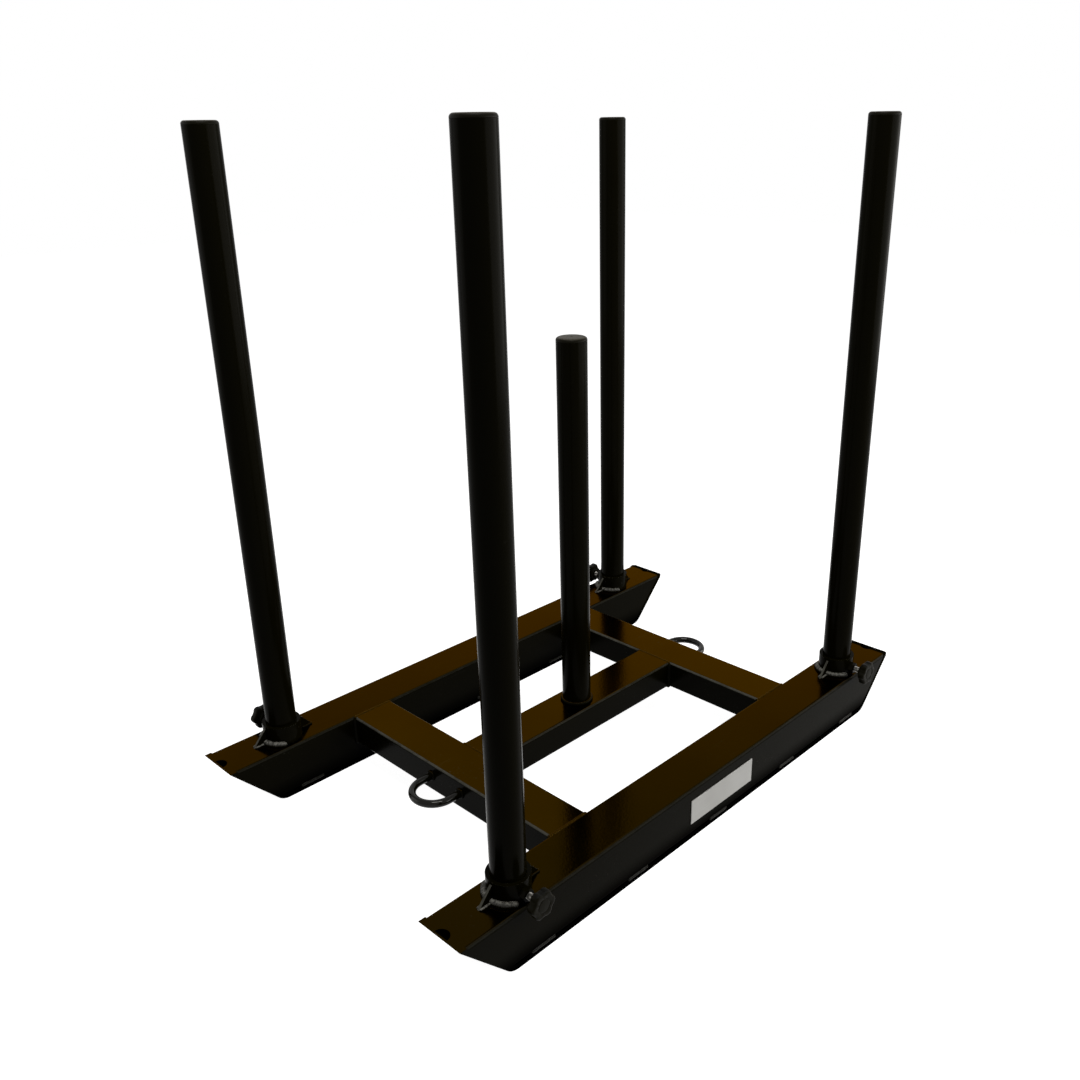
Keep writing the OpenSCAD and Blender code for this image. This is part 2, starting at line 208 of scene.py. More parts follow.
def add_node(tree, kind, inputs=None, **settings):
    """Adds a node, whose settings are made before its inputs are filled."""
    node = tree.nodes.new(kind)
    for name, value in settings.items():
        setattr(node, name, value)
    fill(tree, node, inputs or {})
    return node


def calc(tree, operation, a, b=0.0, clamp=False):
    node = add_node(tree, "ShaderNodeMath", {0: a, 1: b}, operation=operation, use_clamp=clamp)
    return node.outputs[0]


def ramp(tree, value, low, high, to_low=0.0, to_high=1.0):
    """Smooth step of a value from low to high."""
    inputs = {"Value": value, "From Min": low, "From Max": high, "To Min": to_low, "To Max": to_high}
    return add_node(tree, "ShaderNodeMapRange", inputs, interpolation_type="SMOOTHSTEP").outputs[0]


def blend_colour(tree, share, a, b):
    """Colour a where the share is 0, and b where it is 1."""
    factor, first, second, blended = 0, 6, 7, 2
    inputs = {factor: share, first: a, second: b}
    return add_node(tree, "ShaderNodeMix", inputs, data_type="RGBA").outputs[blended]


def split(tree, vector):
    """X, Y and Z of a vector."""
    return add_node(tree, "ShaderNodeSeparateXYZ", {0: vector}).outputs


def noise(tree, coordinates, scale, detail=2.0, roughness=0.5):
    inputs = {"Vector": coordinates, "Scale": scale, "Detail": detail, "Roughness": roughness}
    return add_node(tree, "ShaderNodeTexNoise", inputs).outputs["Fac"]


def stretched(tree, coordinates, scale):
    return add_node(tree, "ShaderNodeMapping", {"Vector": coordinates, "Scale": scale}).outputs[0]


def new_group(name, inputs, outputs, kind="ShaderNodeTree"):
    """A node group with inputs (label, socket, default) and outputs (label, socket)."""
    tree = bpy.data.node_groups.new(name, kind)
    for label, socket, default in inputs:
        made = tree.interface.new_socket(label, in_out="INPUT", socket_type=socket)
        if default is not None:
            made.default_value = default
    for label, socket in outputs:
        tree.interface.new_socket(label, in_out="OUTPUT", socket_type=socket)
    return tree, tree.nodes.new("NodeGroupInput").outputs, tree.nodes.new("NodeGroupOutput").inputs


def group_edge_sheen():
    """Mask of the painted highlight on bevels and rounded corners, where the surface turns away from the
    tube's flats, broken up in patches.
    """
    tree, given, result = new_group(
        "edge sheen",
        [
            ("Normal", VECTOR, None),
            ("Coordinates", VECTOR, None),
            ("Slope", FLOAT, NOSE_ANGLE),
            ("Round", FLOAT, 0.0),
        ],
        [("Mask", FLOAT)],
    )
    x, y, z = (calc(tree, "ABSOLUTE", part) for part in split(tree, given["Normal"]))
    level = calc(tree, "SQRT", calc(tree, "SUBTRACT", 1.0, calc(tree, "MULTIPLY", z, z), True))
    sloped = calc(
        tree, "ADD",
        calc(tree, "MULTIPLY", x, calc(tree, "SINE", given["Slope"])),
        calc(tree, "MULTIPLY", z, calc(tree, "COSINE", given["Slope"])),
    )
    flat = calc(tree, "MAXIMUM", calc(tree, "MAXIMUM", x, y), calc(tree, "MAXIMUM", z, sloped))
    flat = calc(tree, "MAXIMUM", flat, calc(tree, "MULTIPLY", level, given["Round"]))
    turned = ramp(tree, flat, low=0.995, high=0.86)
    patchiness = noise(tree, given["Coordinates"], scale=60.0, detail=4.0)
    sheen_and_wear = ramp(tree, patchiness, low=0.3, high=0.6, to_low=0.55)
    tree.links.new(calc(tree, "MULTIPLY", turned, sheen_and_wear), result["Mask"])
    return tree


def group_sky_side():
    """Mask of the faces that look up, where the painted reflection of the sky goes; it stops at a limit along
    X.
    """
    tree, given, result = new_group(
        "sky side",
        [("Normal", VECTOR, None), ("Coordinates", VECTOR, None), ("Limit", FLOAT, 1.0)],
        [("Mask", FLOAT)],
    )
    up = split(tree, given["Normal"])[2]
    along = split(tree, given["Coordinates"])[0]
    looks_up = ramp(tree, up, low=0.75, high=0.98)
    before_limit = calc(tree, "LESS_THAN", along, given["Limit"])
    tree.links.new(calc(tree, "MULTIPLY", looks_up, before_limit), result["Mask"])
    return tree


def group_painted_shade():
    """Mask of the pockets of the notches and of the foot of the sled, where hardly any light comes."""
    rim = 0.0003
    tree, given, result = new_group("deep black", [("Coordinates", VECTOR, None)], [("Mask", FLOAT)])
    x, y, z = split(tree, given["Coordinates"])
    squares = []
    for part, centre in ((x, NOTCH_X), (y, RUNNER_Y)):
        across = calc(tree, "SUBTRACT", calc(tree, "ABSOLUTE", part), centre)
        squares.append(calc(tree, "MULTIPLY", across, across))
    reach = calc(tree, "SQRT", calc(tree, "ADD", *squares))
    inside = calc(tree, "LESS_THAN", reach, NOTCH_R + rim)
    pocket = calc(tree, "MULTIPLY", inside, calc(tree, "LESS_THAN", z, DECK - rim))
    foot = ramp(tree, z, low=0.042, high=0.002)
    tree.links.new(calc(tree, "MAXIMUM", pocket, foot), result["Mask"])
    return tree


def group_orange_peel():
    """Height of the fine ripple that a baked powder coat has."""
    slow_share = 0.12
    tree, given, result = new_group(
        "orange peel",
        [("Coordinates", VECTOR, None), ("Size", FLOAT, 0.003)],
        [("Height", FLOAT)],
    )
    scale = calc(tree, "DIVIDE", 1.0, given["Size"])
    peel = noise(tree, given["Coordinates"], scale, detail=1.5, roughness=0.4)
    slow = noise(tree, given["Coordinates"], calc(tree, "MULTIPLY", scale, slow_share), detail=1.0)
    tree.links.new(calc(tree, "ADD", peel, slow), result["Height"])
    return tree


def group_rub_marks():
    """Mask of sparse specks and fine scratches."""
    scratch_share = 0.6
    tree, given, result = new_group(
        "rub marks",
        [("Coordinates", VECTOR, None), ("Amount", FLOAT, 0.5)],
        [("Mask", FLOAT)],
    )
    where = given["Coordinates"]
    specks = ramp(tree, noise(tree, where, scale=260.0, detail=0.0), low=0.76, high=0.80)
    lines = noise(tree, stretched(tree, where, (6.0, 300.0, 300.0)), scale=1.0, detail=3.0)
    scratches = calc(tree, "MULTIPLY", ramp(tree, lines, low=0.66, high=0.72), scratch_share)
    patch = ramp(tree, noise(tree, where, scale=9.0), low=0.45, high=0.7)
    both = calc(tree, "MULTIPLY", calc(tree, "MAXIMUM", specks, scratches), patch)
    tree.links.new(calc(tree, "MULTIPLY", both, given["Amount"], True), result["Mask"])
    return tree


GROUPS = {
    "edge": group_edge_sheen(),
    "sky": group_sky_side(),
    "deep": group_painted_shade(),
    "peel": group_orange_peel(),
    "rub": group_rub_marks(),
}


def use_group(tree, key, inputs):
    return add_node(tree, "ShaderNodeGroup", inputs, node_tree=GROUPS[key]).outputs[0]


# Materials
def new_material(name):
    """A material with its tree and shader, and the object's coordinates and normal."""
    material = bpy.data.materials.new(name)
    material.use_nodes = True
    tree = material.node_tree
    given = add_node(tree, "ShaderNodeTexCoord").outputs
    return material, tree, tree.nodes["Principled BSDF"], given["Object"], given["Normal"]


def dress(tree, shader, **inputs):
    """Fills the shader's inputs, whose names have underscores for spaces here."""
    fill(tree, shader, {name.replace("_", " "): value for name, value in inputs.items()})


def bump(tree, height, strength, distance):
    inputs = {"Height": height, "Strength": strength, "Distance": distance}
    return add_node(tree, "ShaderNodeBump", inputs).outputs[0]


def peel_bump(tree, where, size, strength, distance):
    height = use_group(tree, "peel", {"Coordinates": where, "Size": size})
    return bump(tree, height, strength, distance)


def powder_coat(name, sheen, top_reflection=None, slope=NOSE_ANGLE, rounded=0.0, edges=1.0, rubbed=0.3,
                limit=1.0, shine=1.062, gloss=0.2):
    """Black baked powder coat, with a painted brownish reflection of the sky where it looks up, a painted
    highlight on its edges, orange peel and rub marks. Slope is that of cut ends, and rounded counts upright
    round faces as flats. Edges and rubbed are the shares of the painted edge highlight and of rub marks, and
    sheen is the colour of both. Painted shade makes it black in the notch pockets and darker towards the
    foot. The painted reflection on the tops and the clear coat both end at limit along X, which paints shade
    on what lies beyond it. Shine and gloss are the refraction and the roughness of the clear coat on top."""
    material, tree, shader, where, normal = new_material(name)
    edge = use_group(tree, "edge", {"Normal": normal, "Coordinates": where, "Slope": slope, "Round": rounded})
    rub = use_group(tree, "rub", {"Coordinates": where, "Amount": rubbed})
    # Painted edge highlight together with the rub marks
    sheen_and_wear = calc(tree, "MAXIMUM", calc(tree, "MULTIPLY", edge, edges), rub)
    # Painted shade: black in the notch pockets and darker towards the foot, with the clear coat taken away
    # there
    deep = use_group(tree, "deep", {"Coordinates": where})
    coat = calc(tree, "SUBTRACT", 1.0, deep)
    if top_reflection:
        sky = use_group(tree, "sky", {"Normal": normal, "Coordinates": where, "Limit": limit})
        # Painted reflection of the sky on the tops: a metallic base in a mottled brownish tint
        mottle = ramp(tree, noise(tree, where, scale=5.0, detail=3.0), low=0.3, high=0.7)
        dimmer_reflection = [TOP_REFLECTION_DIMMING * channel for channel in top_reflection[:3]] + [1]
        mottled_reflection = blend_colour(tree, mottle, dimmer_reflection, top_reflection)
        colour = blend_colour(tree, sheen_and_wear, blend_colour(tree, sky, BLACK, mottled_reflection), sheen)
        mirror = calc(tree, "MULTIPLY", sky, calc(tree, "SUBTRACT", 1.0, sheen_and_wear))
        # Beyond limit the clear coat goes too, which paints shade on the skids' front ends
        along = split(tree, where)[0]
        coat = calc(tree, "MULTIPLY", coat, calc(tree, "LESS_THAN", along, limit))
        coat = calc(tree, "MULTIPLY", coat, calc(tree, "SUBTRACT", 1.0, sky))
        dress(tree, shader, Metallic=mirror)
    else:
        colour = blend_colour(tree, sheen_and_wear, BLACK, sheen)
    dress(
        tree, shader,
        Base_Color=blend_colour(tree, deep, colour, PAINTED_SHADE_BLACK),
        Roughness=0.15,
        Specular_IOR_Level=0.0,
        Specular_Tint=SHEEN_TINT,
        Coat_Weight=coat,
        Coat_IOR=shine,
        Coat_Roughness=gloss,
        Normal=peel_bump(tree, where, size=0.0028, strength=0.25, distance=0.0003),
    )
    return material


def bead_paint(name, top_highlight, level):
    """Thin black paint on the weld beads, with a painted highlight in patches where it looks up."""
    material, tree, shader, where, normal = new_material(name)
    looks_up = ramp(tree, split(tree, normal)[2], low=0.1, high=0.9)
    patch = ramp(tree, noise(tree, where, scale=230.0), low=0.38, high=0.62, to_low=0.25)
    dress(
        tree, shader,
        Base_Color=blend_colour(tree, calc(tree, "MULTIPLY", looks_up, patch), BLACK, top_highlight),
        Roughness=0.3,
        Specular_IOR_Level=level,
        Normal=peel_bump(tree, where, size=0.0016, strength=0.5, distance=0.0005),
    )
    return material


def moulded_plastic(name, top_light, level):
    """Moulded black plastic with a fine spark-eroded texture, and painted light in patches where it looks up.
    """
    least_rough, more_rough = 0.38, 0.15
    material, tree, shader, where, normal = new_material(name)
    grain = noise(tree, where, scale=900.0)
    patch = ramp(tree, noise(tree, where, scale=700.0), low=0.25, high=0.75)
    looks_up = ramp(tree, split(tree, normal)[2], low=0.6, high=0.95)
    dress(
        tree, shader,
        Base_Color=blend_colour(tree, looks_up, BLACK, blend_colour(tree, patch, *top_light)),
        Roughness=calc(tree, "ADD", least_rough, calc(tree, "MULTIPLY", grain, more_rough)),
        Specular_IOR_Level=level,
        Normal=bump(tree, grain, strength=0.3, distance=0.0001),
    )
    return material


def zinc(name):
    """Bright zinc plating, dulled in patches."""
    material, tree, shader, where, _normal = new_material(name)
    patch = ramp(tree, noise(tree, where, scale=220.0, detail=3.0), low=0.35, high=0.7)
    dress(
        tree, shader,
        Base_Color=blend_colour(tree, patch, *ZINC),
        Roughness=ramp(tree, patch, low=0.0, high=1.0, to_low=0.42, to_high=0.26),
        Metallic=1.0,
    )
    return material


def satin_plate(name):
    """Bare satin metal, brushed along its length."""
    material, tree, shader, where, _normal = new_material(name)
    brushed = noise(tree, stretched(tree, where, (12.0, 1.0, 1600.0)), scale=1.0, detail=3.0)
    cloud = noise(tree, where, scale=18.0)
    mottle = ramp(tree, calc(tree, "ADD", brushed, cloud), low=0.7, high=1.3)
    dress(
        tree, shader,
        Base_Color=blend_colour(tree, mottle, *SATIN),
        Roughness=ramp(tree, brushed, low=0.3, high=0.7, to_low=0.42, to_high=0.52),
        Metallic=0.35,
        Normal=bump(tree, brushed, strength=0.15, distance=0.0001),
    )
    return material


# Edge shares and slopes set where the painted edge highlight goes; with slope 0, sloped faces take it as well
FRAME_COAT = powder_coat("frame_coat", PALE_SHEEN_AND_WEAR, TOP_REFLECTION, edges=0.25)
CROSS_COAT = powder_coat("cross_coat", BRIGHT_SHEEN_AND_WEAR, CROSS_TOP_REFLECTION, slope=0.0)
BAR_COAT = powder_coat("bar_coat", PALE_SHEEN_AND_WEAR, CROSS_TOP_REFLECTION, slope=0.0, edges=0.5)
GUSSET_COAT = powder_coat("gusset_coat", BRIGHT_SHEEN_AND_WEAR, slope=0.0)
LOOP_COAT = powder_coat("round_coat", PALE_SHEEN_AND_WEAR, edges=0.0, rubbed=0.15, shine=1.25, gloss=0.04)
SLEEVE_COAT = powder_coat("sleeve_coat", SLEEVE_SHEEN_AND_WEAR, slope=0.0, rounded=1.0, rubbed=0.15)
POST_COAT = powder_coat("post_coat", PALE_SHEEN_AND_WEAR, edges=0.0, rubbed=0.10)
# Painted shade on the skids' front ends, past limit along X
SKID_COAT = powder_coat("skid_coat", PALE_SHEEN_AND_WEAR, TOP_REFLECTION, edges=0.0, limit=0.4)
WELD_COAT = powder_coat("weld_coat", PALE_SHEEN_AND_WEAR, CROSS_TOP_REFLECTION, edges=0.0)
BEAD_COAT = bead_paint("bead_coat", BEAD_TOP_HIGHLIGHT, level=0.15)
STITCH_COAT = bead_paint("stitch_coat", STITCH_TOP_HIGHLIGHT, level=0.06)
CAP_PLASTIC = moulded_plastic("cap_plastic", CAP_TOP_LIGHT, level=0.04)
KNOB_PLASTIC = moulded_plastic("knob_plastic", KNOB_TOP_LIGHT, level=0.03)
SCREW_ZINC = zinc("screw_zinc")
PLATE_METAL = satin_plate("plate_metal")


# Pieces
def finish_piece(name, bm, material, body, replaced, smooth=35.0):
    """Makes a piece of a bmesh, smooth up to an angle in degrees, that stands for CAD nodes."""
    mesh = bpy.data.meshes.new(name)
    bm.to_mesh(mesh)
    bm.free()
    mesh.materials.append(material)
    mesh.shade_smooth()
    mesh.set_sharp_from_angle(angle=math.radians(smooth))
    piece = bpy.data.objects.new(name, mesh)
    scene.collection.objects.link(piece)
    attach(piece, body)
    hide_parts(*replaced)
    return piece


def bevelled_coat(node, form, material, width):
    """The CAD node's own form, with its hard edges rounded as the coat of paint rounds them."""
    bm = bmesh.new()
    bm.from_mesh(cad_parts[node].data)
    bmesh.ops.remove_doubles(bm, verts=bm.verts, dist=1e-5)
    bmesh.ops.dissolve_limit(bm, angle_limit=math.radians(0.5), verts=bm.verts, edges=bm.edges)
    piece = finish_piece(node + "_" + form, bm, material, "frame", [node], smooth=180.0)
    bevel = piece.modifiers.new("edges", "BEVEL")
    bevel.limit_method = "ANGLE"
    bevel.angle_limit = math.radians(28)
    bevel.width = width
    bevel.segments = 2
    flats = piece.modifiers.new("flats", "WEIGHTED_NORMAL")
    flats.weight = 100
    flats.keep_sharp = True


def eased(corners, steps=4):
    """A closed outline whose corners (x, y, radius) are rounded."""
    points = []
    for i, (x, y, radius) in enumerate(corners):
        corner = Vector((x, y))
        if not radius:
            points.append(corner)
            continue
        before = Vector(corners[i - 1][:2]) - corner
        after = Vector(corners[(i + 1) % len(corners)][:2]) - corner
        start = corner + before.normalized() * min(radius, before.length / 2)
        end = corner + after.normalized() * min(radius, after.length / 2)
        for k in range(steps + 1):
            t = k / steps
            points.append(start * (1 - t) ** 2 + corner * 2 * t * (1 - t) + end * t ** 2)
    return points


def skin(bm, rows):
    """Faces between each ring of points and the next."""
    for lower, upper in zip(rows, rows[1:]):
        count = len(lower)
        for k in range(count):
            n = (k + 1) % count
            bm.faces.new((lower[k], lower[n], upper[n], upper[k]))


def loft(rings, segments, place, closed):
    """Skins rings round the local Z axis. A ring gives (radius, height) for an angle."""
    bm = bmesh.new()
    rows = []
    for ring in rings:
        row = []
        for k in range(segments):
            angle = 2 * math.pi * k / segments
            radius, height = ring(angle)
            row.append(bm.verts.new(place @ polar(radius, angle, height)))
        rows.append(row)
    skin(bm, rows + rows[:1] if closed else rows)
    bmesh.ops.remove_doubles(bm, verts=bm.verts, dist=1e-6)
    bmesh.ops.recalc_face_normals(bm, faces=bm.faces)
    return bm


def round_rings(profile):
    """Rings with the radius and the height of each point of a profile."""
    return [lambda _angle, p=p: (p[0], p[1]) for p in profile]


def spin(profile, place, closed=True):
    """Turned piece, from a closed profile or from one that starts and ends on the axis."""
    return loft(round_rings(profile), SPIN_SEGMENTS, place, closed)


def at_corner(corner, height=0.0):
    """Place of a corner's own frame on the post's axis, with its local Y outwards from the sled."""
    end, side = CORNERS[corner]
    spot = Matrix.Translation((end * POST_X, side * RUNNER_Y, DECK + height))
    return spot @ Matrix.Rotation(0 if side > 0 else math.pi, 4, "Z")


def outwards(corner):
    """Place of a screw's own frame, with its local Z outwards from the sled."""
    return at_corner(corner, SCREW_Z) @ Matrix.Rotation(-math.pi / 2, 4, "X")


def facing(end):
    """Turn of what faces the front (1) or the rear (-1)."""
    return Matrix.Rotation(0 if end > 0 else math.pi, 4, "Z")


def make_post(corner):
    """Tube with a turned-down lower end."""
    node = "post_" + corner
    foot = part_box(node)[0].z - DECK
    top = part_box(node)[1].z - DECK
    profile = eased([
        (POST_R - SPIGOT_RELIEF, foot, 0.0008),
        (POST_R - SPIGOT_RELIEF, SPIGOT_TOP, 0.0002),
        (POST_R, SPIGOT_TOP, 0.0005),
        (POST_R, top, 0.0004),
        (POST_BORE_R, top, 0.0003),
        (POST_BORE_R, foot, 0.0003),
    ])
    finish_piece(node + "_tube", spin(profile, at_corner(corner)), POST_COAT, node, [node])


def make_centre_post():
    """Tube with a neck that its foot bead bites into."""
    node = "centre_post"
    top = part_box(node)[1].z - DECK
    profile = eased([
        (POST_R - WELD_BITE, 0, 0),
        (POST_R - WELD_BITE, CENTRE_NECK, 0),
        (POST_R, CENTRE_NECK, 0.0003),
        (POST_R, top, 0.0004),
        (POST_BORE_R, top, 0.0003),
        (POST_BORE_R, 0, 0),
    ])
    place = Matrix.Translation((CENTRE_POST_X, 0, DECK))
    finish_piece(node + "_tube", spin(profile, place), POST_COAT, "frame", [node])


def make_cap(node, body, x, y):
    """Cap with a rounded edge on a finned, hollow plug, with the dimple that its mould left."""
    low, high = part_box(node)
    rim = low.z + CAP_PLUG
    crown = high.z - rim
    fin_tip = POST_BORE_R - CAP_PLAY
    fin_root = fin_tip - CAP_FIN_DEPTH
    outline = [
        (0, -0.001, 0),
        (fin_tip - 0.003, -0.001, 0.001),
        (fin_tip - 0.0025, -CAP_PLUG, 0.0004),
        (fin_root, -CAP_PLUG, 0.0006),
    ]
    for z in CAP_FINS:
        outline += [
            (fin_root, z - 0.0012, 0),
            (fin_tip, z - 0.0002, 0.0002),
            (fin_tip, z + 0.0008, 0.0002),
            (fin_root, z + 0.0012, 0),
        ]
    outline += [(fin_root, 0, 0), (POST_R, 0, 0.0002)]
    for degrees in range(0, 91, 15):
        t = math.radians(degrees)
        outline.append((POST_R + CAP_ROUND * (math.cos(t) - 1), crown + CAP_ROUND * (math.sin(t) - 1), 0))
    outline += [
        (0.006, crown, 0),
        (0.0022, crown - 0.0001, 0.0002),
        (0.0018, crown - 0.0004, 0.0002),
        (0, crown - 0.0004, 0),
    ]
    bm = spin(eased(outline, steps=6), Matrix.Translation((x, y, rim)), closed=False)
    finish_piece(node + "_dome", bm, CAP_PLASTIC, body, [node], smooth=50.0)


def make_nut(corner):
    """Hexagon nut with chamfered corners, scribed to the sleeve that it is welded on."""
    node = "weld_nut_" + corner
    chamfer_r = NUT_HALF * 0.97
    chamfer_slope = math.tan(math.radians(30))
    lip = 0.0006

    def hexagon(angle):
        return NUT_HALF / math.cos(angle % (math.pi / 3) - math.pi / 6)

    def on_sleeve(radius, angle):
        return radius, math.sqrt(SOCKET_R ** 2 - (radius * math.cos(angle)) ** 2)

    rings = [
        lambda angle: on_sleeve(BORE_R, angle),
        lambda angle: on_sleeve(hexagon(angle), angle),
        lambda angle: (hexagon(angle), NUT_FACE - (hexagon(angle) - chamfer_r) * chamfer_slope),
        lambda angle: (chamfer_r, NUT_FACE),
        lambda angle: (BORE_R + lip, NUT_FACE),
        lambda angle: (BORE_R, NUT_FACE - lip),
    ]
    bm = loft(rings, segments=72, place=outwards(corner), closed=True)
    finish_piece(node + "_hexagon", bm, POST_COAT, "frame", [node], smooth=25.0)


def star(angle):
    """Share of the knob's radius that its lobed outline reaches, blended over a few degrees."""
    lobes, lobe_r, core = 6, 0.0068, 0.0177
    samples, spread = 9, math.radians(7)
    reach = KNOB_R - lobe_r
    total = 0.0
    for k in range(samples):
        turn = angle + spread * (k / (samples - 1) - 0.5)
        off = (turn + math.pi / lobes) % (2 * math.pi / lobes) - math.pi / lobes
        inside = lobe_r ** 2 - (reach * math.sin(off)) ** 2
        lobe = reach * math.cos(off) + math.sqrt(inside) if inside > 0 else 0.0
        total += max(core, lobe)
    return total / samples / KNOB_R


def make_knob(corner):
    """Star knob: collar, six lobes with rolled edges, a dished front and a round blank in its middle."""
    node = "knob_" + corner
    edge = 0.0036
    blank_r = 0.0090
    groove = KNOB_FRONT - 0.0005
    bore_and_collar = eased([
        (0, KNOB_BORE_END, 0),
        (BORE_R, KNOB_BORE_END, 0),
        (BORE_R, KNOB_BACK, 0.0006),
        (KNOB_COLLAR_R, KNOB_BACK, 0.0010),
        (KNOB_COLLAR_R, KNOB_STAR, 0.0008),
        (KNOB_COLLAR_R + 0.001, KNOB_STAR, 0),
    ])
    lobed = eased([
        (KNOB_COLLAR_R + 0.004, KNOB_STAR, 0),
        (KNOB_R, KNOB_STAR, edge),
        (KNOB_R, KNOB_FRONT, edge),
        (KNOB_COLLAR_R + 0.002, KNOB_FRONT - 0.0002, 0),
    ], steps=6)
    face = eased([
        (blank_r + 0.0012, groove, 0.0004),
        (blank_r, groove, 0.0002),
        (blank_r - 0.0004, KNOB_FRONT - 0.0001, 0.0003),
        (0, KNOB_FRONT, 0),
        (0.001, KNOB_STAR, 0),
    ], steps=3)[:-1]
    rings = round_rings(bore_and_collar)
    rings += [lambda angle, p=p: (p[0] * star(angle), p[1]) for p in lobed]
    rings += round_rings(face)
    bm = loft(rings, segments=120, place=outwards(corner), closed=False)
    finish_piece(node + "_star", bm, KNOB_PLASTIC, node, [node], smooth=50.0)


def make_screw(corner):
    """Screw with a true helical thread, a bevelled tip and a flat end."""
    node = "screw_" + corner
    place = outwards(corner)
    around, per_turn = 36, 6
    thread_form = (0.0, 0.35, 1.0, 1.0, 0.35, 0.0)
    low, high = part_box(node)
    tip = POST_R - SPIGOT_RELIEF + SCREW_GAP
    start = tip + SCREW_TIP
    stop = high.y - RUNNER_Y if CORNERS[corner][1] > 0 else -RUNNER_Y - low.y
    rows = math.ceil(((stop - start) / THREAD_PITCH + 1) * per_turn) + 1
    bm = bmesh.new()

    def point(radius, k, height):
        return bm.verts.new(place @ polar(radius, 2 * math.pi * k / around, height))

    grid = []
    for j in range(rows + 1):
        row = []
        for k in range(around):
            height = start + THREAD_PITCH * (j / per_turn + k / around - 1)
            crest = thread_form[j % per_turn] if start < height < stop else 0.0
            row.append(point(SCREW_R - THREAD_DEPTH * (1 - crest), k, min(max(height, start), stop)))
        grid.append(row)
    for j in range(rows):
        for k in range(around):
            wraps = k == around - 1
            ahead = j + per_turn if wraps else j
            if ahead + 1 > rows:
                continue
            n = 0 if wraps else k + 1
            bm.faces.new((grid[j][k], grid[ahead][n], grid[ahead + 1][n], grid[j + 1][k]))
    skin(bm, [[point(SCREW_R - SCREW_TIP_BEVEL, k, tip) for k in range(around)], grid[0]])
    bmesh.ops.remove_doubles(bm, verts=bm.verts, dist=2e-6)
    bmesh.ops.dissolve_degenerate(bm, edges=bm.edges, dist=2e-6)
    bmesh.ops.holes_fill(bm, edges=[e for e in bm.edges if e.is_boundary], sides=0)
    bmesh.ops.recalc_face_normals(bm, faces=bm.faces)
    finish_piece(node + "_thread", bm, SCREW_ZINC, node, [node], smooth=40.0)


def make_tow_loop(end, node):
    """Round bar bent to a U, both legs butted on the cross-member."""
    steps, sides = 40, 28
    face = CROSS_X + CROSS_HALF
    leg = LOOP_REACH - LOOP_HALF
    turns = [math.pi * (k / steps - 0.5) for k in range(steps + 1)]
    path = [(face, -LOOP_HALF, turns[0])]
    path += [(face + leg + LOOP_HALF * math.cos(t), LOOP_HALF * math.sin(t), t) for t in turns]
    path.append((face, LOOP_HALF, turns[-1]))
    place = Matrix.Translation((0, end * LOOP_OFFSET, LOOP_Z)) @ facing(end)
    bm = bmesh.new()
    rows = []
    for x, y, turn in path:
        row = []
        for k in range(sides):
            angle = 2 * math.pi * k / sides
            out = LOOP_R * math.cos(angle)
            spot = Vector((x + out * math.cos(turn), y + out * math.sin(turn), LOOP_R * math.sin(angle)))
            row.append(bm.verts.new(place @ spot))
        rows.append(row)
    skin(bm, rows)
    bm.faces.new(rows[0])
    bm.faces.new(rows[-1])
    bmesh.ops.recalc_face_normals(bm, faces=bm.faces)
    finish_piece(node + "_bar", bm, LOOP_COAT, "frame", [node], smooth=50.0)


